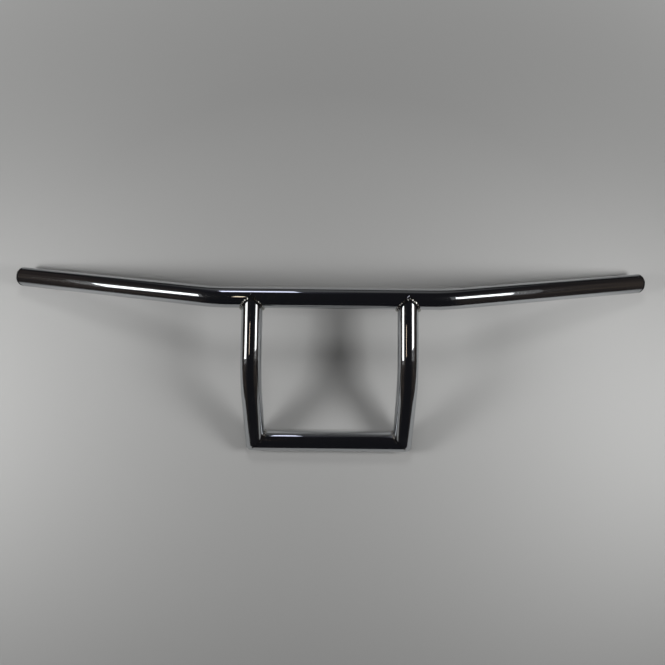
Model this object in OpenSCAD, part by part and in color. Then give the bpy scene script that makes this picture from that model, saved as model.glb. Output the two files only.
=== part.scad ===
// Welded T-bar handlebar, lying on its clamp tube and both grip ends.
// X runs along the bar, Y from the clamp tube to the grip tube and Z up.
// The origin is the centre of the clamp tube, one tube radius above the ground.

/* [Tube] */
// Outside diameter of every tube, one inch
tube_od = 25.4; // [22:0.1:30]
// Wall thickness of every tube
tube_wall = 2.6; // [1.8:0.1:4]

/* [Clamp tube and risers] */
// Distance between the two risers, centre to centre
riser_spacing = 190; // [120:1:200]
// Length of a riser's lower leg, from the clamp tube's centre to the corner of the bend
riser_lower_len = 96; // [80:1:112]
// Angle between a riser's lower leg and the ground
riser_lower_angle = 37; // [30:0.5:45]
// Length of a riser's upper leg, from the corner of the bend to the grip tube's centre
riser_upper_len = 98; // [80:1:150]
// Angle between a riser's upper leg and the ground
riser_upper_angle = 4; // [0:0.5:10]
// Centreline radius of a riser's bend
riser_bend_r = 90; // [60:1:110]
// Radius to which the outer corner of each mitre is ground
mitre_round_r = 6; // [3:0.5:8]

/* [Grip tube] */
// Distance between the corners of the grip tube's two bends
grip_corner_spacing = 282; // [276:1:360]
// Length of each arm, from the corner of its bend to the end of the tube
arm_len = 282.5; // [250:0.5:340]
// Angle between each arm and the straight middle of the grip tube
arm_angle = 15.5; // [14:0.5:24]
// Centreline radius of the grip tube's bends
grip_bend_r = 135; // [80:1:150]

/* [Bend marks] */
// Step that the bending die leaves at both ends of a bend, on the tube's radius
bend_step = 0.06; // [0.05:0.01:0.2]
// How far a straight tube reaches into a bend's thicker wall
bend_lap = 0.4; // [0.2:0.1:0.6]

/* [Welds] */
// Width of a weld bead on each of the two tubes that it joins
bead_w = 4; // [2.5:0.1:5]
// Height of a bead's crown above the line between its toes
bead_crown = 1.1; // [0.6:0.1:1.6]
// Distance from one ripple of a bead to the next
bead_pitch = 3.2; // [2:0.1:6]
// Height of the ripples
bead_ripple = 0.35; // [0.1:0.05:0.5]
// Gap between a riser's coped end and the grip tube, under the bead
cope_gap = 0.05; // [0.02:0.01:0.3]
// Gap between a bead's underside and the tubes
bead_seat = 0.08; // [0.06:0.01:0.15]

/* [End plugs] */
// Thickness of a plug's head, outside the tube
plug_head_t = 3; // [1.5:0.5:8]
// How far a plug's head stays inside the tube's outside diameter, on the radius
plug_head_inset = 0.1; // [0.05:0.05:0.5]
// Radius of the edge of a plug's head
plug_edge_r = 1.2; // [0.4:0.1:1.4]
// Length of a plug's stem, inside the tube
plug_stem_len = 14; // [10:1:30]
// Wall of a plug's hollow stem
plug_stem_wall = 1.6; // [1:0.1:2.5]
// Number of ribs round a plug's stem
plug_ribs = 3; // [2:1:5]
// Thickness of each rib, along the stem
plug_rib_t = 1; // [0.6:0.1:1.6]
// Height of each rib above the stem
plug_rib_h = 0.8; // [0.4:0.1:1.2]
// Gap between the ribs and the tube's bore, on the radius
plug_fit = 0.05; // [0.02:0.01:0.2]

/* [Hidden] */

$fn = 96;
chrome = "silver";
weld_chrome = "lightgray";
plug_black = "dimgray";

tube_r = tube_od / 2;
bore_r = tube_r - tube_wall;
riser_x = riser_spacing / 2;

// The riser turns through this angle, and each leg loses this length to the bend.
riser_turn = riser_lower_angle - riser_upper_angle;
riser_setback = riser_bend_r * tan(riser_turn / 2);

// The grip tube's centre line
grip_y = riser_lower_len * cos(riser_lower_angle) + riser_upper_len * cos(riser_upper_angle);
grip_z = riser_lower_len * sin(riser_lower_angle) + riser_upper_len * sin(riser_upper_angle);
grip_setback = grip_bend_r * tan(arm_angle / 2);
grip_corner_x = grip_corner_spacing / 2;
grip_middle = grip_corner_spacing - 2 * grip_setback + 2 * bend_lap;

// Both bends of the grip tube lie in one plane, which droops from the grip tube until
// the rounded rims of the plug heads meet the ground that the clamp tube lies on.
// drop_sin is the sine of each arm's slope. With the rim rounded by plug_edge_r,
// grip_h - arm_reach * drop_sin = rim_r * cos(slope), which is a quadratic in drop_sin.
plug_head_r = tube_r - plug_head_inset;
rim_r = plug_head_r - plug_edge_r;
arm_reach = arm_len + plug_head_t - plug_edge_r;
grip_h = grip_z + tube_r - plug_edge_r;
drop_a = arm_reach * arm_reach + rim_r * rim_r;
drop_b = grip_h * arm_reach;
drop_c = grip_h * grip_h - rim_r * rim_r;
drop_sin = (drop_b - sqrt(drop_b * drop_b - drop_a * drop_c)) / drop_a;
droop = asin(min(1, drop_sin / sin(arm_angle)));

// The outer corner of a mitre may be ground only as far as the wall allows.
corner_r = min(mitre_round_r, 2.6 * tube_wall);

// The side of the blocks that cut the mitres
cut_side = 6 * tube_r;
overrun = 1;

// A tube's section, with the wall thicker by extra on both sides
module tube_section(extra = 0) {
    difference() {
        circle(r = tube_r + extra);
        circle(r = bore_r - extra);
    }
}

// A straight tube along +Y that starts at the origin
module straight_tube(len) {
    rotate([-90, 0, 0]) linear_extrude(height = len) tube_section();
}

// A bent tube that starts at the origin along +Y and turns towards -X
module bent_tube(bend_r, angle) {
    translate([-bend_r, 0, 0])
        rotate_extrude(angle = angle)
            translate([bend_r, 0]) tube_section(bend_step);
}

// Everything below is placed in the frame of a riser's lower leg: the leg runs along +Y
// from the corner where it meets the clamp tube, which runs along -X.
module at_mitre() {
    rotate([riser_lower_angle, 0, 0]) translate([riser_x, 0, 0]) children();
}

// The frame of a riser's upper leg: the leg arrives along +Y at the grip tube's centre line
module at_cope() {
    translate([riser_x, grip_y, grip_z]) rotate([riser_upper_angle, 0, 0]) children();
}

// The frame of the grip tube's bends, whose arms turn towards +Y
module at_grip() {
    translate([0, grip_y, grip_z]) rotate([-droop, 0, 0]) children();
}

// The frame of the right arm's end: +Z leaves along the arm
module at_arm_end() {
    at_grip()
        translate([grip_corner_x + arm_len * cos(arm_angle), arm_len * sin(arm_angle), 0])
            rotate([0, 0, arm_angle]) rotate([0, 90, 0]) children();
}

// Takes away what lies beyond the mitre plane: side 1 trims the clamp tube, side -1 the riser
module mitre_block(side) {
    rotate([0, 0, 45])
        translate([side > 0 ? 0 : -cut_side, -cut_side / 2, -cut_side / 2]) cube(cut_side);
}

// Takes away the sharp outer corner of a mitre
module mitre_rounding() {
    translate([tube_r - corner_r, corner_r - tube_r, -cut_side / 2])
        linear_extrude(height = cut_side)
            difference() {
                translate([0, -corner_r - overrun]) square(corner_r + overrun);
                circle(r = corner_r);
            }
}

// The straight tube that the clamps hold, mitred to a riser at each end
module clamp_tube() {
    color(chrome)
        difference() {
            rotate([riser_lower_angle, 0, 0])
                translate([-riser_x - 2 * tube_r, 0, 0])
                    rotate([0, 0, -90]) straight_tube(riser_spacing + 4 * tube_r);
            for (side = [0, 1])
                mirror([side, 0, 0]) at_mitre() {
                    mitre_block(1);
                    mitre_rounding();
                }
        }
}

// The right riser: mitred at its foot, bent once and coped to the grip tube
module riser() {
    difference() {
        union() {
            at_mitre()
                translate([0, -2 * tube_r, 0])
                    straight_tube(riser_lower_len - riser_setback + 2 * tube_r + bend_lap);
            at_mitre()
                translate([0, riser_lower_len - riser_setback, 0])
                    rotate([0, -90, 0]) bent_tube(riser_bend_r, riser_turn);
            at_cope()
                translate([0, riser_setback - riser_upper_len - bend_lap, 0])
                    straight_tube(riser_upper_len - riser_setback + bend_lap);
        }
        at_mitre() {
            mitre_block(-1);
            mitre_rounding();
        }
        at_cope()
            translate([-cut_side / 2, 0, 0])
                rotate([0, 90, 0]) cylinder(r = tube_r + cope_gap, h = cut_side);
    }
}

module riser_right() {
    color(chrome) riser();
}

module riser_left() {
    color(chrome) mirror([1, 0, 0]) riser();
}

// One side of the grip tube: the bend and the arm
module grip_arm() {
    translate([grip_corner_x - grip_setback, 0, 0])
        rotate([0, 0, -90]) bent_tube(grip_bend_r, arm_angle);
    translate([grip_corner_x, 0, 0])
        rotate([0, 0, arm_angle - 90])
            translate([0, grip_setback - bend_lap, 0])
                straight_tube(arm_len - grip_setback + bend_lap);
}

// The long tube that carries the grips, bent once on each side
module grip_tube() {
    color(chrome)
        at_grip() {
            translate([-grip_middle / 2, 0, 0])
                rotate([0, 0, -90]) straight_tube(grip_middle);
            grip_arm();
            mirror([1, 0, 0]) grip_arm();
        }
}

// Weld beads
// A bead is a row of sections along its seam. Each section has five points over the
// crown, from the toe on the riser to the toe on the other tube, and three underneath,
// which follow the two tubes. A section is a list of eight points.
function unit(v) = v / norm(v);
function bead_section(toe_b, under_b, root, under_a, toe_a, lift) =
    [toe_b,
     for (u = [0.25, 0.5, 0.75]) toe_b * (1 - u) + toe_a * u + lift * 4 * u * (1 - u),
     toe_a, under_a, root, under_b];

// Ripples at one place along a seam, with a slow unevenness so that no two look alike
function ripple(turns, count, seed) =
    bead_ripple * (cos(360 * turns * count) + 0.6 * sin(360 * turns * 5 + seed)
                   + 0.4 * sin(360 * turns * 11 + 2 * seed));

// The side faces between neighbouring sections of eight points
function bead_sides(sections, closed) =
    [for (i = [0 : sections - (closed ? 1 : 2)], k = [0 : 7], half = [0, 1])
        let (a = 8 * i,
             b = 8 * ((i + 1) % sections),
             n = (k + 1) % 8)
        half == 0 ? [a + k, a + n, b + n] : [a + k, b + n, b + k]];

// The faces that close the end of an open bead, seen from the side that looks along it
function bead_cap(a) =
    [[a, a + 7, a + 1], [a + 1, a + 7, a + 6], [a + 1, a + 6, a + 2],
     [a + 2, a + 6, a + 5], [a + 2, a + 5, a + 3], [a + 3, a + 5, a + 4]];
function reversed(faces) = [for (f = faces) [f[2], f[1], f[0]]];

// Saddle bead, in the frame of the cope
// A place on the seam is an angle round the riser, from +X towards +Z.
saddle_seam = 7.64 * tube_r;
saddle_ripples = round(saddle_seam / bead_pitch);
saddle_sections = 4 * saddle_ripples;
seat_r = tube_r + bead_seat;

// A point on the grip tube, by its place along the tube and its angle from -Y towards +Z
function on_grip(x, angle) = [x, -seat_r * cos(angle), seat_r * sin(angle)];

function saddle_section(t, seed) =
    let (wave = ripple(t / 360, saddle_ripples, seed),
         w = bead_w + 0.5 * wave,
         x = tube_r * cos(t),
         y = -tube_r * abs(cos(t)),
         around = asin(sin(t)),
         away = atan2(around * PI / 180, cos(t)),
         step_x = w * cos(away),
         step_angle = w * sin(away) / tube_r * 180 / PI,
         rise = unit([cos(t), -cos(around), sin(t) + sin(around)]))
    bead_section([seat_r * cos(t), y - w, seat_r * sin(t)],
                 [seat_r * cos(t), y - w / 2, seat_r * sin(t)],
                 [seat_r * cos(t), -seat_r * abs(cos(t)) - bead_seat, seat_r * sin(t)],
                 on_grip(x + step_x / 2, around + step_angle / 2),
                 on_grip(x + step_x, around + step_angle),
                 rise * (bead_crown + wave));

module saddle_bead(seed) {
    sections = [for (i = [0 : saddle_sections - 1])
                saddle_section(360 * i / saddle_sections, seed)];
    points = [for (s = sections) each s];
    polyhedron(points = points, faces = reversed(bead_sides(saddle_sections, true)));
}

// Mitre bead, in the frame of the mitre
// A place on the seam is an angle from the inner corner round the tubes.
// The bead fades towards the outer corner, where the seam is ground flush, and ends
// before the ground, which a riser's underside reaches at riser_lower_angle + 90.
mitre_end = min(acos(corner_r / tube_r - 1) - 4, riser_lower_angle + 68);
mitre_ripples = round(mitre_end / 180 * saddle_seam / bead_pitch);
mitre_sections = 4 * mitre_ripples + 1;
mitre_full = 0.6;
mitre_least = 0.3;
function fade(share) =
    share < mitre_full ? 1
    : 1 - (1 - mitre_least) * (share - mitre_full) / (1 - mitre_full);

function mitre_section(a, seed) =
    let (k = fade(abs(a) / mitre_end),
         wave = ripple(a / mitre_end / 2, mitre_ripples, seed) * k,
         w = (bead_w + 0.5 * wave) * k,
         rise = unit([-cos(a), cos(a), 2 * sin(a)]),
         foot = [-seat_r * cos(a), seat_r * cos(a), seat_r * sin(a)])
    bead_section(foot + [0, w, 0],
                 foot + [0, w / 2, 0],
                 foot + rise * bead_seat,
                 foot - [w / 2, 0, 0],
                 foot - [w, 0, 0],
                 rise * (bead_crown + wave) * k);

module mitre_bead(seed) {
    sections = [for (i = [0 : mitre_sections - 1])
                mitre_section(mitre_end * (2 * i / (mitre_sections - 1) - 1), seed)];
    points = [for (s = sections) each s];
    polyhedron(points = points,
               faces = concat(reversed(bead_sides(mitre_sections, false)),
                              reversed(bead_cap(0)),
                              bead_cap(8 * (mitre_sections - 1))));
}

module top_weld_right() {
    color(weld_chrome) at_cope() saddle_bead(20);
}

module top_weld_left() {
    color(weld_chrome) mirror([1, 0, 0]) at_cope() saddle_bead(135);
}

module corner_weld_right() {
    color(weld_chrome) at_mitre() mitre_bead(60);
}

module corner_weld_left() {
    color(weld_chrome) mirror([1, 0, 0]) at_mitre() mitre_bead(250);
}

// A push-in end plug: a thin head against the tube's end and a hollow ribbed stem
rib_r = bore_r - plug_fit;
stem_r = rib_r - plug_rib_h;
rib_step = (plug_stem_len - plug_rib_t) / plug_ribs;

module plug_profile() {
    square([plug_head_r - plug_edge_r, plug_head_t]);
    square([plug_head_r, plug_head_t - plug_edge_r]);
    translate([plug_head_r - plug_edge_r, plug_head_t - plug_edge_r]) circle(r = plug_edge_r);
    translate([stem_r - plug_stem_wall, -plug_stem_len])
        square([plug_stem_wall, plug_stem_len + plug_head_t / 2]);
    for (i = [1 : plug_ribs])
        translate([stem_r - plug_stem_wall / 2, -i * rib_step - plug_rib_t])
            square([plug_rib_h + plug_stem_wall / 2, plug_rib_t]);
}

module end_plug() {
    rotate_extrude() plug_profile();
}

module end_plug_right() {
    color(plug_black) at_arm_end() end_plug();
}

module end_plug_left() {
    color(plug_black) mirror([1, 0, 0]) at_arm_end() end_plug();
}

grip_tube();
riser_left();
riser_right();
clamp_tube();
top_weld_left();
top_weld_right();
corner_weld_left();
corner_weld_right();
end_plug_left();
end_plug_right();
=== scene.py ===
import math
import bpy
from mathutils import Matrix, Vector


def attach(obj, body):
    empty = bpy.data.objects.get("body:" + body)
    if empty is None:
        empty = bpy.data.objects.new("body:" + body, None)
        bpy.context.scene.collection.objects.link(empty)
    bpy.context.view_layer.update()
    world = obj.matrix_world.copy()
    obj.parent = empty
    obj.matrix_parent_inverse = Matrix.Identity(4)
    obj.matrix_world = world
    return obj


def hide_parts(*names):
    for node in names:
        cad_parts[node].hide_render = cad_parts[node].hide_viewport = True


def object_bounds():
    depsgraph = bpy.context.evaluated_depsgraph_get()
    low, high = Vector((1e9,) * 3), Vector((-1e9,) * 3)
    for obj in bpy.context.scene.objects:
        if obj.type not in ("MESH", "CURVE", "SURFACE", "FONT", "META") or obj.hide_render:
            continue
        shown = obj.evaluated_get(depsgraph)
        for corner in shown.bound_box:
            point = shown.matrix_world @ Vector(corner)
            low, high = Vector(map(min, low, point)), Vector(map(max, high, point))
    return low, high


bl_info = {
    "name": "T-bar handlebar",
    "version": (1, 0, 0),
    "blender": (4, 5, 0),
    "location": "3D View > Sidebar > Handlebar",
    "description": "Dresses the welded chrome T-bar handlebar and sets the stage round it",
    "category": "Object",
}

import bmesh
import bpy
import numpy as np
from mathutils import Matrix, Vector

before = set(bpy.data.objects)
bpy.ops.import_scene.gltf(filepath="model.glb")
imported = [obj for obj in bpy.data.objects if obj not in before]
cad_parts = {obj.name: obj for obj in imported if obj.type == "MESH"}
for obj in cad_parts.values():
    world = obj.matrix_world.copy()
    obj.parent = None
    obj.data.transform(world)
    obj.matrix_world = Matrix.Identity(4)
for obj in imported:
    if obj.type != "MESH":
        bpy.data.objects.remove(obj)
CAD_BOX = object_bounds()

BODY = "root"
GROUND_Z = CAD_BOX[0][2]
MM = 0.001

# The camera is held above the handlebar and tilted forward
CAMERA_PLACE = (3.3 * MM, 41.0 * MM, 686.3 * MM)
CAMERA_TILT = 8.37
CAMERA_ROLL = 0.66
CAMERA_SENSOR_MM = 36.0
CAMERA_LENS_MM = 28.15

# Half the floor's width, and the distances in metres between which it turns into painted shade for the chrome
# and into the backdrop for the camera
FLOOR_HALF = 6.0
PAINTED_SHADE_FOR_CHROME = (0.42, 0.62)
BACKDROP_FOR_CAMERA = (0.50, 0.95)

# Heat tint left in the plating by the welds
STRAW_TINT = "#9A8468"

# Colours that only the chrome sees: painted shade on the floor farther off, and the surroundings above, aside
# and low behind
FAR_FLOOR_PAINTED_SHADE = "#141416"
DIM_ABOVE = "#19191C"
DIM_ASIDE = "#463E38"
DIM_BEHIND = "#5A5A5A"

# Every lamp faces this place. Each has a name, a place and a size in metres, a power in watts, a colour,
# and whether it is there for the chrome instead of the floor
LAMP_AIM = (0, 0.09, 0.04)
LAMPS = (
    ("lamp_left", (-0.71, 0.035, 0.45), (0.24, 0.24), 5.0, "#FFFFFF", False),
    ("lamp_right", (0.57, 0.035, 0.45), (0.24, 0.24), 4.1, "#FFFFFF", False),
    ("lamp_back", (-0.05, 0.84, 0.90), (0.25, 0.25), 2.7, "#FFFFFF", False),
    ("softbox_left", (-0.684, 0.145, 0.485), (0.20, 0.26), 0.50, "#FFFFFF", True),
    ("softbox_right", (0.515, 0.18, 0.455), (0.14, 0.195), 0.271, "#FFFFFF", True),
    ("softbox_back", (-0.30, 1.20, 0.75), (0.36, 0.25), 0.70, "#E6E8FF", True),
    ("glow_left", (-0.684, 0.145, 0.485), (0.36, 0.36), 0.046, "#FFFFFF", True),
    ("glow_right", (0.515, 0.18, 0.455), (0.28, 0.31), 0.031, "#FFFFFF", True),
    ("lamp_ceiling", (-0.235, 0.115, 0.77), (0.09, 0.03), 0.020, "#FFE6CC", True),
)


def linear(hex_colour):
    """A colour written as sRGB hex, as the linear red, green and blue that Blender mixes."""
    out = []
    for i in (1, 3, 5):
        c = int(hex_colour[i : i + 2], 16) / 255
        out.append(c / 12.92 if c <= 0.04045 else ((c + 0.055) / 1.055) ** 2.4)
    return out


def length(name, description, mm, low, high):
    return bpy.props.FloatProperty(
        name=name, description=description, default=mm * MM, min=low * MM, max=high * MM, unit="LENGTH"
    )


def angle(name, description, degrees):
    turn = math.radians(degrees)
    return bpy.props.FloatProperty(
        name=name, description=description, default=turn, min=0.0, max=math.pi / 2, unit="ROTATION"
    )


def colour(name, description, hex_colour):
    return bpy.props.FloatVectorProperty(
        name=name, description=description, default=linear(hex_colour), min=0.0, max=1.0, subtype="COLOR"
    )


class TubeSizes(bpy.types.PropertyGroup):
    """Sizes of the bent and welded tubes, the same as the solids have"""

    diameter: length("Tube diameter", "Outside diameter of every tube", 25.4, 22, 30)
    wall: length("Wall", "Wall thickness of every tube", 2.6, 1.8, 4)
    riser_spacing: length("Riser spacing", "Distance between the two risers' centre lines", 190, 120, 200)
    lower_leg: length("Lower leg", "Riser's leg from the clamp tube to the corner of its bend", 96, 80, 112)
    lower_angle: angle("Lower angle", "Angle between a riser's lower leg and the ground", 37)
    upper_leg: length("Upper leg", "Riser's leg from the corner of its bend to the grip tube", 98, 80, 150)
    upper_angle: angle("Upper angle", "Angle between a riser's upper leg and the ground", 4)
    riser_bend: length("Riser bend", "Centreline radius of a riser's bend", 90, 60, 110)
    mitre_round: length("Mitre rounding", "Radius of the ground outer corner of each mitre", 6, 3, 8)
    corner_spacing: length("Grip corners", "Distance between the grip tube's two corners", 282, 276, 360)
    arm: length("Arm", "From the corner of the grip tube's bend to the tube's end", 282.5, 250, 340)
    arm_angle: angle("Arm angle", "Angle between an arm and the middle of the grip tube", 15.5)
    grip_bend: length("Grip bend", "Centreline radius of the grip tube's bends", 135, 80, 150)


class WeldSizes(bpy.types.PropertyGroup):
    """Sizes of the weld beads"""

    width: length("Bead width", "Width of a bead on each of the two tubes it joins", 2.9, 2.5, 5)
    crown: length("Crown", "Height of the crown above the line between its toes", 0.6, 0.4, 1.6)
    pitch: length("Ripple pitch", "Distance from one ripple to the next", 3.2, 2, 6)
    ripple: length("Ripple height", "Height of the ripples", 0.2, 0.1, 0.6)
    seat: length("Seat", "Gap between a bead's underside and the tubes", 0.08, 0.06, 0.15)


class PlugSizes(bpy.types.PropertyGroup):
    """Sizes of the end plugs"""

    head: length("Head", "Thickness of a plug's head, outside the tube", 3, 1.5, 8)
    inset: length("Inset", "How far the head stays inside the tube's outside radius", 0.1, 0.05, 0.5)
    edge: length("Edge", "Radius of the head's edge", 1.2, 0.4, 1.4)
    stem: length("Stem", "Length of the stem inside the tube", 14, 10, 30)
    stem_wall: length("Stem wall", "Wall of the hollow stem", 1.6, 1, 2.5)
    rib: length("Rib height", "Height of the ribs above the stem", 0.8, 0.4, 1.2)
    rib_width: length("Rib thickness", "Thickness of each rib along the stem", 1, 0.6, 1.6)
    fit: length("Fit", "Gap between the ribs and the bore, on the radius", 0.05, 0.02, 0.2)


class Finishes(bpy.types.PropertyGroup):
    """Colours of the finishes and of the stage"""

    chrome: colour("Chrome", "Electroplated chrome on polished steel", "#C6C9CC")
    weld: colour("Weld chrome", "Electroplated chrome on unpolished weld metal", "#B4B3B0")
    plug: colour("Plug", "Moulded black polyethylene", "#0E0E0F")
    ground: colour("Ground", "Plain pale floor", "#9B9B9A")
    backdrop: colour("Backdrop", "Plain pale background behind the floor", "#A8A8A7")


def sizes():
    return bpy.context.scene.handlebar_tube


def add_node(tree, kind, settings=None, links=None):
    """Adds one shader node. settings holds its attributes and socket values, links its sockets' sources."""
    node = tree.nodes.new(kind)
    for key, value in (settings or {}).items():
        if isinstance(key, str) and hasattr(node, key):
            setattr(node, key, value)
        else:
            node.inputs[key].default_value = value
    for key, source in (links or {}).items():
        tree.links.new(source, node.inputs[key])
    return node


def new_material(name):
    old = bpy.data.materials.get(name)
    if old:
        return old, None
    material = bpy.data.materials.new(name)
    material.use_nodes = True
    material.node_tree.nodes.clear()
    return material, material.node_tree


def chrome_on_tube():
    """Decorative chrome over nickel on a polished drawn steel tube.
    The eye sees a near-perfect mirror with a cool cast. The tube's drawing and polishing
    leave long shallow waves that bend the edges of every reflection a little."""
    material, tree = new_material("electroplated_chrome_on_polished_tube")
    if tree is None:
        return material
    place = add_node(tree, "ShaderNodeTexCoord").outputs["Object"]
    # Polishing waves about 14 mm apart, a few hundredths of a millimetre high
    waves = add_node(
        tree,
        "ShaderNodeTexNoise",
        {"Scale": 1 / (14 * MM), "Detail": 1.5, "Roughness": 0.4},
        {"Vector": place},
    )
    bend = add_node(
        tree, "ShaderNodeBump", {"Strength": 1.0, "Distance": 0.035 * MM}, {"Height": waves.outputs["Fac"]}
    )
    # Faint haze where hands and clamps have been, in patches about 30 mm across
    haze = add_node(tree, "ShaderNodeTexNoise", {"Scale": 1 / (30 * MM), "Detail": 3.0}, {"Vector": place})
    rough = add_node(
        tree,
        "ShaderNodeMapRange",
        {"From Min": 0.35, "From Max": 0.75, "To Min": 0.02, "To Max": 0.06},
        {"Value": haze.outputs["Fac"]},
    )
    plated = (*bpy.context.scene.handlebar_finish.chrome, 1.0)
    shader = add_node(
        tree,
        "ShaderNodeBsdfPrincipled",
        {"Base Color": plated, "Metallic": 1.0},
        {"Roughness": rough.outputs["Result"], "Normal": bend.outputs["Normal"]},
    )
    # Fine polishing scratches spread a little of the light wide, as a halo round bright reflections
    halo = add_node(
        tree, "ShaderNodeBsdfPrincipled", {"Base Color": plated, "Metallic": 1.0, "Roughness": 0.30}
    )
    both = add_node(
        tree, "ShaderNodeMixShader", {0: 0.08}, {1: shader.outputs["BSDF"], 2: halo.outputs["BSDF"]}
    )
    add_node(tree, "ShaderNodeOutputMaterial", links={"Surface": both.outputs["Shader"]})
    return material


def chrome_on_weld():
    """Decorative chrome over arc-welded steel that was brushed but not polished.
    The eye sees the ripples as rows of small glints, a little duller and warmer than the tube."""
    material, tree = new_material("electroplated_chrome_on_weld_bead")
    if tree is None:
        return material
    place = add_node(tree, "ShaderNodeTexCoord").outputs["Object"]
    # Spatter grain and brush marks about 0.7 mm across
    grain = add_node(
        tree,
        "ShaderNodeTexNoise",
        {"Scale": 1 / (0.7 * MM), "Detail": 3.0, "Roughness": 0.6},
        {"Vector": place},
    )
    bump = add_node(
        tree, "ShaderNodeBump", {"Strength": 1.0, "Distance": 0.015 * MM}, {"Height": grain.outputs["Fac"]}
    )
    # Straw heat tint left under the thin plating, in patches about 5 mm across
    patches = add_node(tree, "ShaderNodeTexNoise", {"Scale": 1 / (5 * MM), "Detail": 2.0}, {"Vector": place})
    amount = add_node(
        tree,
        "ShaderNodeMapRange",
        {"From Min": 0.5, "From Max": 0.75, "To Min": 0.0, "To Max": 0.25},
        {"Value": patches.outputs["Fac"]},
    )
    plated = (*bpy.context.scene.handlebar_finish.weld, 1.0)
    tint = add_node(
        tree,
        "ShaderNodeMix",
        {"data_type": "RGBA", 6: plated, 7: (*linear(STRAW_TINT), 1.0)},
        {0: amount.outputs["Result"]},
    )
    shader = add_node(
        tree,
        "ShaderNodeBsdfPrincipled",
        {"Metallic": 1.0, "Roughness": 0.08},
        {"Base Color": tint.outputs[2], "Normal": bump.outputs["Normal"]},
    )
    add_node(tree, "ShaderNodeOutputMaterial", links={"Surface": shader.outputs["BSDF"]})
    return material


def moulded_plug():
    """Injection-moulded black polyethylene from a spark-eroded tool.
    The eye sees a deep matt black, as the tool's grain breaks up reflections even at a slant."""
    material, tree = new_material("moulded_black_polyethylene")
    if tree is None:
        return material
    place = add_node(tree, "ShaderNodeTexCoord").outputs["Object"]
    # The tool's grain is about 0.1 mm, drawn at 0.35 mm so that it shows
    grain = add_node(tree, "ShaderNodeTexNoise", {"Scale": 1 / (0.35 * MM), "Detail": 2.0}, {"Vector": place})
    bump = add_node(
        tree, "ShaderNodeBump", {"Strength": 1.0, "Distance": 0.02 * MM}, {"Height": grain.outputs["Fac"]}
    )
    # Scuffs from the ground and from gloves, in patches about 4 mm across
    scuffs = add_node(tree, "ShaderNodeTexNoise", {"Scale": 1 / (4 * MM), "Detail": 4.0}, {"Vector": place})
    rough = add_node(
        tree,
        "ShaderNodeMapRange",
        {"From Min": 0.35, "From Max": 0.7, "To Min": 0.5, "To Max": 0.65},
        {"Value": scuffs.outputs["Fac"]},
    )
    black = (*bpy.context.scene.handlebar_finish.plug, 1.0)
    shader = add_node(
        tree,
        "ShaderNodeBsdfPrincipled",
        {"Base Color": black, "IOR": 1.51, "Specular IOR Level": 0.2},
        {"Roughness": rough.outputs["Result"], "Normal": bump.outputs["Normal"]},
    )
    add_node(tree, "ShaderNodeOutputMaterial", links={"Surface": shader.outputs["BSDF"]})
    return material


def unseen_by_camera(tree):
    """One for lamps and reflections, and zero for what the camera sees by itself."""
    seen = add_node(tree, "ShaderNodeLightPath").outputs["Is Camera Ray"]
    return add_node(tree, "ShaderNodeMath", {"operation": "SUBTRACT", 0: 1.0}, {1: seen}).outputs[0]


def make_piece(name, node, material, points, faces, sharp=35.0):
    """Makes a closed smooth piece in metres that stands for a CAD node and rides on the body."""
    mesh = bpy.data.meshes.new(name)
    mesh.from_pydata([tuple(p) for p in points], [], faces)
    shape = bmesh.new()
    shape.from_mesh(mesh)
    bmesh.ops.recalc_face_normals(shape, faces=shape.faces)
    shape.to_mesh(mesh)
    shape.free()
    mesh.shade_smooth()
    mesh.set_sharp_from_angle(angle=math.radians(sharp))
    mesh.materials.append(material)
    piece = bpy.data.objects.new(name, mesh)
    bpy.context.scene.collection.objects.link(piece)
    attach(piece, BODY)
    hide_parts(node)


def ring_faces(rings, around, closed):
    """Quads between rings of points, each joined to the next one, and the last to the first if closed."""
    faces = []
    for i in range(rings if closed else rings - 1):
        a, b = i * around, ((i + 1) % rings) * around
        for k in range(around):
            n = (k + 1) % around
            faces.append((a + k, a + n, b + n, b + k))
    return faces


def placed(points, matrix, mirrored=False):
    """Points moved from a local frame into the row's frame, on the left side if mirrored."""
    m = np.array(matrix)
    out = np.asarray(points) @ m[:3, :3].T + m[:3, 3]
    if mirrored:
        out[:, 0] *= -1
    return out


def frame_at(place, turn):
    return Matrix.Translation(place) @ Matrix.Rotation(turn, 4, "X")


def grip_axis():
    """Distance and height of the grip tube's centre line from the clamp tube's."""
    s = sizes()
    y = s.lower_leg * math.cos(s.lower_angle) + s.upper_leg * math.cos(s.upper_angle)
    z = s.lower_leg * math.sin(s.lower_angle) + s.upper_leg * math.sin(s.upper_angle)
    return y, z


def droop():
    """Angle of the plane of the grip tube's bends, so that the plugs' rims rest on the ground."""
    s, p = sizes(), bpy.context.scene.handlebar_plug
    radius = s.diameter / 2
    rim = radius - p.inset - p.edge
    reach = s.arm + p.head - p.edge
    height = grip_axis()[1] + radius - p.edge
    a = reach**2 + rim**2
    b = height * reach
    c = height**2 - rim**2
    slope_sine = (b - math.sqrt(b * b - a * c)) / a
    return math.asin(min(1.0, slope_sine / math.sin(s.arm_angle)))


def mitre_frame():
    """Frame of the right riser's foot: +Y along the lower leg, the clamp tube along -X."""
    s = sizes()
    return Matrix.Rotation(s.lower_angle, 4, "X") @ Matrix.Translation((s.riser_spacing / 2, 0, 0))


def cope_frame():
    """Frame of the right riser's top: its upper leg arrives along +Y at the grip tube's centre line."""
    s = sizes()
    y, z = grip_axis()
    return frame_at((s.riser_spacing / 2, y, z), s.upper_angle)


def grip_frame():
    """Frame of the grip tube, whose arms turn towards +Y."""
    y, z = grip_axis()
    return frame_at((0, y, z), -droop())


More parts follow.
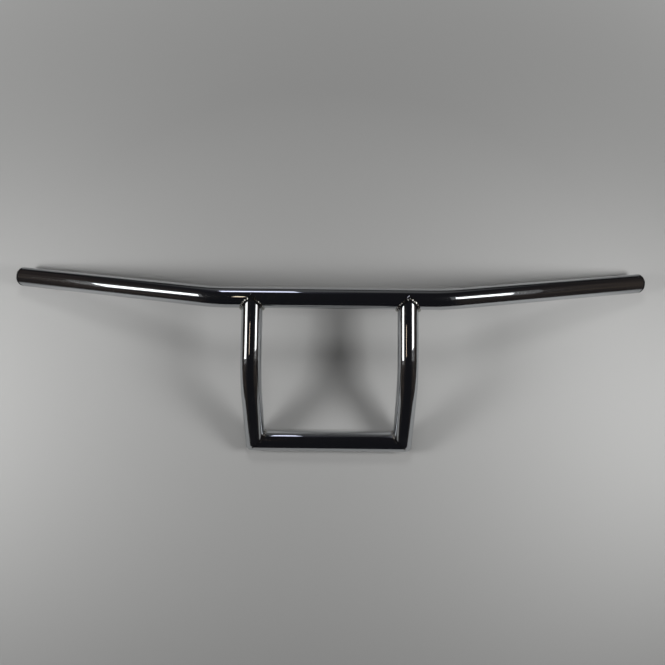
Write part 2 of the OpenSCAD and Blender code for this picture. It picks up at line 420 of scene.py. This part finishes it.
def arm_end_frame():
    """Frame of the right arm's end: +Z leaves along the arm."""
    s = sizes()
    tip = Matrix.Translation(
        (s.corner_spacing / 2 + s.arm * math.cos(s.arm_angle), s.arm * math.sin(s.arm_angle), 0)
    )
    return grip_frame() @ tip @ Matrix.Rotation(s.arm_angle, 4, "Z") @ Matrix.Rotation(math.pi / 2, 4, "Y")


# Points round a tube, and the steps along its straights and its bends
AROUND = 128
STEP = 12 * MM
BEND_STEP = math.radians(1.2)

# Rings across a wall that is cut to fit another tube, and rings close to a ground corner
CUT_RINGS = 4
CORNER_RINGS = 10

# Gap between a riser's coped end and the grip tube, under the bead
COPE_GAP = 0.05 * MM

# A mitre's ground corner reaches its full radius this share of a diameter from the tube's middle
GRIND_FADE = 0.2

# A corner bead ends this far before the ground corner, and goes no farther round than this angle and the
# lower leg's together, so that it stays off the ground
BEAD_END_GAP = math.radians(4)
BEAD_LOWEST = math.radians(68)

# The seam of a saddle or of a mitre at 45 degrees is this many radii long
SEAM_RADII = 7.64

# Points of a bead from one ripple to the next, and over its crown
RIPPLE_POINTS = 10
CROWN_POINTS = 11

# How far a ripple's crescent trails behind at the bead's edges, and how soft the groove between ripples is
CRESCENT_TRAIL = 0.55
GROOVE = 0.02

# Chamfer of a plug's head where it meets the tube's end
PLUG_CHAMFER = 0.15 * MM


def no_cut(u, _):
    """A square end."""
    return np.zeros_like(u)


def ground_corner(outward, beyond):
    """Where the wall runs near a mitre whose outer corner is ground round, for places that lie outward of
    the tube's middle and beyond the mitre along the tube: how far inwards they move, and how far beyond the
    mitre they then lie."""
    s = sizes()
    share = np.clip(outward / (GRIND_FADE * s.diameter), 0, 1)
    radius = np.maximum(s.mitre_round * share * share * (3 - 2 * share), 1e-9)
    turn = (1 - np.clip(beyond / radius, 0, 1)) * math.pi / 4
    near = beyond < radius
    inwards = np.where(near, radius * (1 - np.cos(turn)), 0.0)
    return inwards, np.where(near, radius * (1 - np.sin(turn)), beyond)


def ring_places(span, mitred):
    """Places of the rings along a straight tube, from 0 to 1, close together where an end is mitred."""
    places = set(np.linspace(0, 1, max(2, round(span / STEP)) + 1))
    close = np.linspace(0, 1.4 * sizes().mitre_round / span, CORNER_RINGS)
    if mitred[0]:
        places |= set(close)
    if mitred[1]:
        places |= set(1 - close)
    return sorted(places)


def tube_points(corners, bend, normal, first_cut=no_cut, last_cut=no_cut, outward=None):
    """Rings of a bent hollow tube through the corners of its centre line, in one plane with that normal.
    A cut gives how far the tube's end lies beyond the end point, at each place in its section.
    outward is the way to the ground corner of a mitred first end, in the section's two directions,
    and a straight tube that has it is mitred at both ends."""
    s = sizes()
    outer, inner = s.diameter / 2, s.diameter / 2 - s.wall
    corners = [np.array(c, float) for c in corners]
    normal = np.array(normal, float)
    turn = np.linspace(0, 2 * math.pi, AROUND, endpoint=False)
    along = [(b - a) / np.linalg.norm(b - a) for a, b in zip(corners, corners[1:])]
    setbacks = [0.0]
    for u, w in zip(along, along[1:]):
        setbacks.append(bend * math.tan(math.acos(float(np.clip(u @ w, -1, 1))) / 2))
    setbacks.append(0.0)
    mitred_ends = (outward is not None, outward is not None and len(along) == 1)
    cap_rings = 1 if first_cut is no_cut else CUT_RINGS

    def section(radius):
        return radius * np.cos(turn), radius * np.sin(turn)

    def ring(centre, direction, radius, shift=0.0, begin=None, finish=None):
        u, v = section(radius)
        across = np.cross(normal, direction)
        shift = np.broadcast_to(shift, u.shape)
        if outward and radius == outer:
            for end, sign in ((begin, 1), (finish, -1)):
                if end is not None:
                    inwards, beyond = ground_corner(u * outward[0] + v * outward[1], (shift - end) * sign)
                    u, v, shift = u - inwards * outward[0], v - inwards * outward[1], end + sign * beyond
        return centre + np.outer(u, normal) + np.outer(v, across) + np.outer(shift, direction)

    def wall(radius):
        u, v = section(radius)
        rings = []
        last = len(along) - 1
        for i, direction in enumerate(along):
            start = corners[i] + setbacks[i] * direction
            span = np.linalg.norm(corners[i + 1] - corners[i]) - setbacks[i] - setbacks[i + 1]
            begin = first_cut(u, v) if i == 0 else 0.0
            finish = span + (last_cut(u, v) if i == last else 0.0)
            mitred = (mitred_ends[0] and i == 0, mitred_ends[1] and i == last)
            mitres = (begin if mitred[0] else None, finish if mitred[1] else None)
            for share in ring_places(span, mitred):
                if i > 0 and share == 0:
                    continue
                shift = begin * (1 - share) + finish * share
                rings.append(ring(start, direction, radius, shift, *mitres))
            if i < last:
                ahead = along[i + 1]
                inward = ahead - (ahead @ direction) * direction
                inward /= np.linalg.norm(inward)
                total = math.acos(float(np.clip(ahead @ direction, -1, 1)))
                base = start + span * direction
                steps = max(4, round(total / BEND_STEP))
                for k in range(1, steps + 1):
                    a = total * k / steps
                    centre = base + bend * (math.sin(a) * direction + (1 - math.cos(a)) * inward)
                    rings.append(ring(centre, math.cos(a) * direction + math.sin(a) * inward, radius))
        return rings

    def cap(from_ring, to_ring, place, direction, cut, mitred):
        """Rings across the wall's end, from outside to inside."""
        for share in np.arange(1, cap_rings) / cap_rings:
            if mitred:
                yield from_ring * (1 - share) + to_ring * share
            else:
                radius = outer + (inner - outer) * share
                yield ring(place, direction, radius, cut(*section(radius)))

    outside, inside = wall(outer), wall(inner)
    rings = outside + list(cap(outside[-1], inside[-1], corners[-1], along[-1], last_cut, mitred_ends[1]))
    rings += reversed(inside)
    rings += reversed(list(cap(outside[0], inside[0], corners[0], along[0], first_cut, mitred_ends[0])))
    return np.concatenate(rings), ring_faces(len(rings), AROUND, True)


def foot_cut(x, _):
    """Where the riser's foot begins along its leg: on the mitre."""
    return -x


def cope_cut(_, z):
    """Where the riser's top ends: on the grip tube."""
    radius = sizes().diameter / 2 + COPE_GAP
    return -np.sqrt(radius**2 - z**2)


def clamp_cut(_, y):
    """Where the clamp tube's right end lies: on the mitre."""
    return -y


def left_clamp_cut(z, y):
    return -clamp_cut(z, y)


def bead_rows(toe_b, toe_a, lift, foot_b, root, foot_a, crown):
    """Sections of a bead: over its crown from the riser's toe to the other tube's, then back underneath."""
    u = np.linspace(0, 1, crown.shape[1])[None, :, None]
    over = toe_b[:, None, :] * (1 - u) + toe_a[:, None, :] * u + lift[:, None, :] * crown[:, :, None]
    return np.concatenate([over, foot_a[:, None, :], root[:, None, :], foot_b[:, None, :]], axis=1)


def slow_waves(turns, seed):
    """Unevenness of hand welding, slower than the ripples."""
    return 0.6 * np.sin(2 * math.pi * 5 * turns + seed) + 0.4 * np.sin(2 * math.pi * 11 * turns + 2 * seed)


def crown_heights(turns, ripples, strength, seed):
    """Height of the bead over its section. Each ripple is a crescent that trails behind at its edges."""
    w = bpy.context.scene.handlebar_weld
    u = np.linspace(0, 1, CROWN_POINTS)[None, :]
    bow = 1 - (2 * u - 1) ** 2
    phase = math.pi * (ripples * turns[:, None] - CRESCENT_TRAIL * bow)
    crescent = np.sqrt(np.cos(phase) ** 2 + GROOVE) * 2 - 1
    height = w.crown + w.ripple * (crescent + slow_waves(turns, seed)[:, None])
    return np.where(bow > 0, height * bow**0.85, 0.0) * strength[:, None]


def on_cylinder(x, around, radius):
    return np.stack([x, -radius * np.cos(around), radius * np.sin(around)], axis=1)


def unit_rows(v):
    return v / np.linalg.norm(v, axis=1, keepdims=True)


def seam_length():
    return SEAM_RADII * sizes().diameter / 2


def saddle_bead(seed):
    """Bead round a riser's coped end, in the cope's frame."""
    w = bpy.context.scene.handlebar_weld
    radius = sizes().diameter / 2
    seat = radius + w.seat
    ripples = round(seam_length() / w.pitch)
    turns = np.arange(RIPPLE_POINTS * ripples) / (RIPPLE_POINTS * ripples)
    t = 2 * math.pi * turns
    width = w.width + 0.5 * w.ripple * slow_waves(turns, seed)
    x, y = radius * np.cos(t), -radius * np.abs(np.cos(t))
    around = np.arcsin(np.sin(t))
    away = np.arctan2(around, np.cos(t))
    step_x, step_a = width * np.cos(away), width * np.sin(away) / radius
    side = np.stack([seat * np.cos(t), y, seat * np.sin(t)], axis=1)
    down = np.array([0.0, -1.0, 0.0])
    rise = unit_rows(np.stack([np.cos(t), -np.cos(around), np.sin(t) + np.sin(around)], axis=1))
    root = np.stack([seat * np.cos(t), -seat * np.abs(np.cos(t)) - w.seat, seat * np.sin(t)], axis=1)
    rows = bead_rows(
        side + width[:, None] * down,
        on_cylinder(x + step_x, around + step_a, seat),
        rise,
        side + width[:, None] / 2 * down,
        root,
        on_cylinder(x + step_x / 2, around + step_a / 2, seat),
        crown_heights(turns, ripples, np.ones_like(t), seed),
    )
    return rows.reshape(-1, 3), ring_faces(len(rows), rows.shape[1], True)


def mitre_bead(seed):
    """Bead along a mitre, in its frame, that ends before the ground corner and the riser's underside."""
    s, w = sizes(), bpy.context.scene.handlebar_weld
    radius = s.diameter / 2
    seat = radius + w.seat
    end = min(math.acos(s.mitre_round / radius - 1) - BEAD_END_GAP, s.lower_angle + BEAD_LOWEST)
    ripples = round(end / math.pi * seam_length() / w.pitch)
    turns = np.linspace(-0.5, 0.5, RIPPLE_POINTS * ripples + 1)
    a = 2 * end * turns
    share = np.abs(2 * turns)
    # Full at the inner corner, and ground down to a tenth on the way to the outer one
    fade = 1 - 0.9 * np.clip((share - 0.25) / 0.45, 0, 1)
    width = (w.width + 0.5 * w.ripple * slow_waves(turns, seed)) * (0.4 + 0.6 * fade)
    foot = seat * np.stack([-np.cos(a), np.cos(a), np.sin(a)], axis=1)
    rise = unit_rows(np.stack([-np.cos(a), np.cos(a), 2 * np.sin(a)], axis=1))
    up, back = np.array([0.0, 1.0, 0.0]), np.array([-1.0, 0.0, 0.0])
    rows = bead_rows(
        foot + width[:, None] * up,
        foot + width[:, None] * back,
        rise,
        foot + width[:, None] / 2 * up,
        foot + rise * w.seat,
        foot + width[:, None] / 2 * back,
        crown_heights(turns, ripples, fade, seed),
    )
    count, across = rows.shape[:2]
    faces = ring_faces(count, across, False)
    faces.append(tuple(range(across)))
    faces.append(tuple(range(across * count - 1, across * (count - 1) - 1, -1)))
    return rows.reshape(-1, 3), faces


def plug_profile():
    """Half section of an end plug, from its face inwards: radius, and distance out of the tube's end."""
    s, p = sizes(), bpy.context.scene.handlebar_plug
    bore = s.diameter / 2 - s.wall
    head = s.diameter / 2 - p.inset
    rib = bore - p.fit
    stem = rib - p.rib
    hollow = stem - p.stem_wall
    line = [(head - p.edge, p.head)]
    line += [
        (head - p.edge + p.edge * math.sin(a), p.head - p.edge + p.edge * math.cos(a))
        for a in np.linspace(0, math.pi / 2, 10)[1:]
    ]
    line += [(head, PLUG_CHAMFER), (head - PLUG_CHAMFER, 0.0), (stem, 0.0)]
    gap = (p.stem - p.rib_width) / 3
    for i in (1, 2, 3):
        top = -i * gap
        line += [(stem, top), (rib, top), (rib, top - p.rib_width)]
        if i < 3:
            line.append((stem, top - p.rib_width))
    line += [(hollow, -p.stem), (hollow, 0.0)]
    return line


def turned(profile, around):
    """A profile turned about +Z, closed at the axis on both ends."""
    turn = np.linspace(0, 2 * math.pi, around, endpoint=False)
    rings = [np.stack([r * np.cos(turn), r * np.sin(turn), np.full(around, z)], axis=1) for r, z in profile]
    points = np.concatenate(rings + [np.array([[0, 0, profile[0][1]], [0, 0, profile[-1][1]]])])
    faces = ring_faces(len(rings), around, False)
    first, last = len(points) - 2, len(points) - 1
    base = (len(rings) - 1) * around
    for k in range(around):
        n = (k + 1) % around
        faces.append((first, n, k))
        faces.append((last, base + k, base + n))
    return points, faces


class HANDLEBAR_OT_stage(bpy.types.Operator):
    """Make the camera, the pale floor, the lamps and the dim surroundings"""

    bl_idname = "handlebar.stage"
    bl_label = "Stage"

    def execute(self, context):
        self.camera(context.scene)
        self.floor(context.scene)
        self.world(context.scene)
        self.lamps(context.scene)
        return {"FINISHED"}

    def camera(self, scene):
        """Held as in the photograph."""
        data = bpy.data.cameras.new("camera")
        data.sensor_width = CAMERA_SENSOR_MM
        data.lens = CAMERA_LENS_MM
        data.clip_start = 0.01
        data.clip_end = 100.0
        camera = bpy.data.objects.new("camera", data)
        scene.collection.objects.link(camera)
        camera.matrix_world = (
            Matrix.Translation(CAMERA_PLACE)
            @ Matrix.Rotation(math.radians(CAMERA_TILT), 4, "X")
            @ Matrix.Rotation(math.radians(CAMERA_ROLL), 4, "Z")
        )
        scene.camera = camera
        scene.view_settings.view_transform = "Standard"

    def floor(self, scene):
        """A plain pale floor. Farther off, the chrome sees painted shade on it, which keeps the tubes' sides
        darker, and the camera sees the backdrop's colour, as the lamps don't reach there."""
        sides = ((-1, -1), (1, -1), (1, 1), (-1, 1))
        mesh = bpy.data.meshes.new("floor")
        mesh.from_pydata([(x * FLOOR_HALF, y * FLOOR_HALF, GROUND_Z) for x, y in sides], [], [(0, 1, 2, 3)])
        material, tree = new_material("pale_floor_with_painted_shade")
        place = add_node(tree, "ShaderNodeTexCoord").outputs["Object"]
        measure = add_node(tree, "ShaderNodeVectorMath", {"operation": "LENGTH"}, {0: place})
        distance = measure.outputs["Value"]
        low, high = PAINTED_SHADE_FOR_CHROME
        farther = add_node(
            tree, "ShaderNodeMapRange", {"From Min": low, "From Max": high}, {"Value": distance}
        )
        painted_shade = add_node(
            tree,
            "ShaderNodeMath",
            {"operation": "MULTIPLY"},
            {0: farther.outputs["Result"], 1: unseen_by_camera(tree)},
        )
        # Painted shade: for every ray but the camera's, the floor farther off is tinted near-black, standing
        # in for the unlit surroundings that the chrome mirrors
        tint = add_node(
            tree,
            "ShaderNodeMix",
            {"data_type": "RGBA", 6: (*scene.handlebar_finish.ground, 1.0), 7: (*linear(FAR_FLOOR_PAINTED_SHADE), 1.0)},
            {0: painted_shade.outputs[0]},
        )
        shader = add_node(
            tree,
            "ShaderNodeBsdfPrincipled",
            {"Roughness": 0.9, "Specular IOR Level": 0.1},
            {"Base Color": tint.outputs[2]},
        )
        backdrop = add_node(tree, "ShaderNodeEmission", {"Color": (*scene.handlebar_finish.backdrop, 1.0)})
        low, high = BACKDROP_FOR_CAMERA
        off = add_node(tree, "ShaderNodeMapRange", {"From Min": low, "From Max": high}, {"Value": distance})
        seen = add_node(tree, "ShaderNodeLightPath")
        far = add_node(
            tree,
            "ShaderNodeMath",
            {"operation": "MULTIPLY"},
            {0: off.outputs["Result"], 1: seen.outputs["Is Camera Ray"]},
        )
        both = add_node(
            tree,
            "ShaderNodeMixShader",
            links={0: far.outputs[0], 1: shader.outputs["BSDF"], 2: backdrop.outputs["Emission"]},
        )
        add_node(tree, "ShaderNodeOutputMaterial", links={"Surface": both.outputs["Shader"]})
        mesh.materials.append(material)
        floor = bpy.data.objects.new("floor", mesh)
        scene.collection.objects.link(floor)

    def world(self, scene):
        """A pale backdrop for the camera, and dim surroundings for the chrome to mirror."""
        world = bpy.data.worlds.new("studio_surroundings")
        world.use_nodes = True
        tree = world.node_tree
        tree.nodes.clear()
        way = add_node(tree, "ShaderNodeTexCoord").outputs["Generated"]
        split = add_node(tree, "ShaderNodeSeparateXYZ", links={"Vector": way})
        # The left and right sides are a little lighter and warmer, in uneven patches
        aside = add_node(tree, "ShaderNodeMath", {"operation": "ABSOLUTE"}, {0: split.outputs["X"]})
        sides = add_node(
            tree, "ShaderNodeMapRange", {"From Min": 0.50, "From Max": 0.85}, {"Value": aside.outputs[0]}
        )
        patches = add_node(tree, "ShaderNodeTexNoise", {"Scale": 4.0, "Detail": 3.0}, {"Vector": way})
        uneven = add_node(
            tree, "ShaderNodeMapRange", {"From Min": 0.3, "From Max": 0.65}, {"Value": patches.outputs["Fac"]}
        )
        warm = add_node(
            tree,
            "ShaderNodeMath",
            {"operation": "MULTIPLY"},
            {0: sides.outputs["Result"], 1: uneven.outputs["Result"]},
        )
        near = add_node(
            tree,
            "ShaderNodeMix",
            {"data_type": "RGBA", 6: (*linear(DIM_ABOVE), 1.0), 7: (*linear(DIM_ASIDE), 1.0)},
            {0: warm.outputs[0]},
        )
        # Low on the far side they are grey, within about 30 degrees of +Y
        behind = add_node(
            tree, "ShaderNodeMapRange", {"From Min": 0.82, "From Max": 0.95}, {"Value": split.outputs["Y"]}
        )
        around = add_node(
            tree,
            "ShaderNodeMix",
            {"data_type": "RGBA", 7: (*linear(DIM_BEHIND), 1.0)},
            {0: behind.outputs["Result"], 6: near.outputs[2]},
        )
        mix = add_node(
            tree,
            "ShaderNodeMix",
            {"data_type": "RGBA", 6: (*scene.handlebar_finish.backdrop, 1.0)},
            {0: unseen_by_camera(tree), 7: around.outputs[2]},
        )
        light = add_node(tree, "ShaderNodeBackground", {"Strength": 1.0}, {"Color": mix.outputs[2]})
        add_node(tree, "ShaderNodeOutputWorld", links={"Surface": light.outputs["Background"]})
        scene.world = world

    def lamps(self, scene):
        """Soft lamps that light the floor, and small ones with a dim glow that only the chrome shows."""
        for name, place, size, power, tint, for_chrome in LAMPS:
            data = bpy.data.lights.new(name, "AREA")
            data.shape = "RECTANGLE"
            data.size, data.size_y = size
            data.energy = power
            data.color = linear(tint)
            lamp = bpy.data.objects.new(name, data)
            scene.collection.objects.link(lamp)
            away = Vector(place) - Vector(LAMP_AIM)
            lamp.matrix_world = Matrix.Translation(place) @ away.to_track_quat("Z", "Y").to_matrix().to_4x4()
            lamp.visible_camera = False
            lamp.visible_glossy = for_chrome
            lamp.visible_diffuse = not for_chrome


class HANDLEBAR_OT_grip_tube(bpy.types.Operator):
    """Make the long grip tube, bent once on each side"""

    bl_idname = "handlebar.grip_tube"
    bl_label = "Grip tube"

    def execute(self, context):
        s = sizes()
        corner = s.corner_spacing / 2
        tip_x, tip_y = corner + s.arm * math.cos(s.arm_angle), s.arm * math.sin(s.arm_angle)
        line = [(-tip_x, tip_y, 0), (-corner, 0, 0), (corner, 0, 0), (tip_x, tip_y, 0)]
        points, faces = tube_points(line, s.grip_bend, (0, 0, 1))
        points = placed(points, grip_frame())
        make_piece("grip_tube_plated", "grip_tube", chrome_on_tube(), points, faces)
        return {"FINISHED"}


class HANDLEBAR_OT_risers(bpy.types.Operator):
    """Make the two bent risers, mitred at the foot and coped at the top"""

    bl_idname = "handlebar.risers"
    bl_label = "Risers"

    def execute(self, context):
        s = sizes()
        x = s.riser_spacing / 2
        foot = (x, 0, 0)
        knee = (x, s.lower_leg * math.cos(s.lower_angle), s.lower_leg * math.sin(s.lower_angle))
        line = [foot, knee, (x, *grip_axis())]
        points, faces = tube_points(line, s.riser_bend, (1, 0, 0), foot_cut, cope_cut, outward=(1, 0))
        for side, mirrored in (("right", False), ("left", True)):
            make_piece(
                f"riser_{side}_plated",
                f"riser_{side}",
                chrome_on_tube(),
                placed(points, Matrix.Identity(4), mirrored),
                faces,
            )
        return {"FINISHED"}


class HANDLEBAR_OT_clamp_tube(bpy.types.Operator):
    """Make the straight tube that the clamps hold, mitred at both ends"""

    bl_idname = "handlebar.clamp_tube"
    bl_label = "Clamp tube"

    def execute(self, context):
        s = sizes()
        x = s.riser_spacing / 2
        line = [(-x, 0, 0), (x, 0, 0)]
        points, faces = tube_points(line, 0.0, (0, 0, 1), left_clamp_cut, clamp_cut, outward=(0, -1))
        turn = Matrix.Rotation(s.lower_angle, 4, "X")
        make_piece("clamp_tube_plated", "clamp_tube", chrome_on_tube(), placed(points, turn), faces)
        return {"FINISHED"}


class HANDLEBAR_OT_welds(bpy.types.Operator):
    """Lay the rippled weld beads on the saddle joints and on the mitres"""

    bl_idname = "handlebar.welds"
    bl_label = "Weld beads"

    def execute(self, context):
        for kind, bead, place, seeds in (
            ("top_weld", saddle_bead, cope_frame(), (0.35, 2.36)),
            ("corner_weld", mitre_bead, mitre_frame(), (1.05, 4.36)),
        ):
            for side, seed in zip(("right", "left"), seeds):
                points, faces = bead(seed)
                make_piece(
                    f"{kind}_{side}_plated",
                    f"{kind}_{side}",
                    chrome_on_weld(),
                    placed(points, place, side == "left"),
                    faces,
                    sharp=80.0,
                )
        return {"FINISHED"}


class HANDLEBAR_OT_end_plugs(bpy.types.Operator):
    """Push the black plugs into the ends of the grip tube"""

    bl_idname = "handlebar.end_plugs"
    bl_label = "End plugs"

    def execute(self, context):
        points, faces = turned(plug_profile(), AROUND)
        for side in ("right", "left"):
            make_piece(
                f"end_plug_{side}_moulded",
                f"end_plug_{side}",
                moulded_plug(),
                placed(points, arm_end_frame(), side == "left"),
                faces,
                sharp=50.0,
            )
        return {"FINISHED"}


STEPS = (
    HANDLEBAR_OT_stage,
    HANDLEBAR_OT_grip_tube,
    HANDLEBAR_OT_risers,
    HANDLEBAR_OT_clamp_tube,
    HANDLEBAR_OT_welds,
    HANDLEBAR_OT_end_plugs,
)


class VIEW3D_PT_handlebar(bpy.types.Panel):
    """Sizes, finishes and pieces of the handlebar"""

    bl_idname = "VIEW3D_PT_handlebar"
    bl_label = "T-bar handlebar"
    bl_space_type = "VIEW_3D"
    bl_region_type = "UI"
    bl_category = "Handlebar"

    def draw(self, context):
        layout = self.layout
        for group in (
            context.scene.handlebar_tube,
            context.scene.handlebar_weld,
            context.scene.handlebar_plug,
            context.scene.handlebar_finish,
        ):
            box = layout.box()
            for name in group.__annotations__:
                box.prop(group, name)
        for step in STEPS:
            layout.operator(step.bl_idname)


GROUPS = {
    "handlebar_tube": TubeSizes,
    "handlebar_weld": WeldSizes,
    "handlebar_plug": PlugSizes,
    "handlebar_finish": Finishes,
}


def register():
    for name, group in GROUPS.items():
        bpy.utils.register_class(group)
        setattr(bpy.types.Scene, name, bpy.props.PointerProperty(type=group))
    for step in STEPS:
        bpy.utils.register_class(step)
    bpy.utils.register_class(VIEW3D_PT_handlebar)


def unregister():
    bpy.utils.unregister_class(VIEW3D_PT_handlebar)
    for step in reversed(STEPS):
        bpy.utils.unregister_class(step)
    for name, group in reversed(GROUPS.items()):
        delattr(bpy.types.Scene, name)
        bpy.utils.unregister_class(group)


def main():
    register()
    bpy.ops.handlebar.stage()
    bpy.ops.handlebar.grip_tube()
    bpy.ops.handlebar.risers()
    bpy.ops.handlebar.clamp_tube()
    bpy.ops.handlebar.welds()
    bpy.ops.handlebar.end_plugs()


if __name__ == "__main__":
    main()
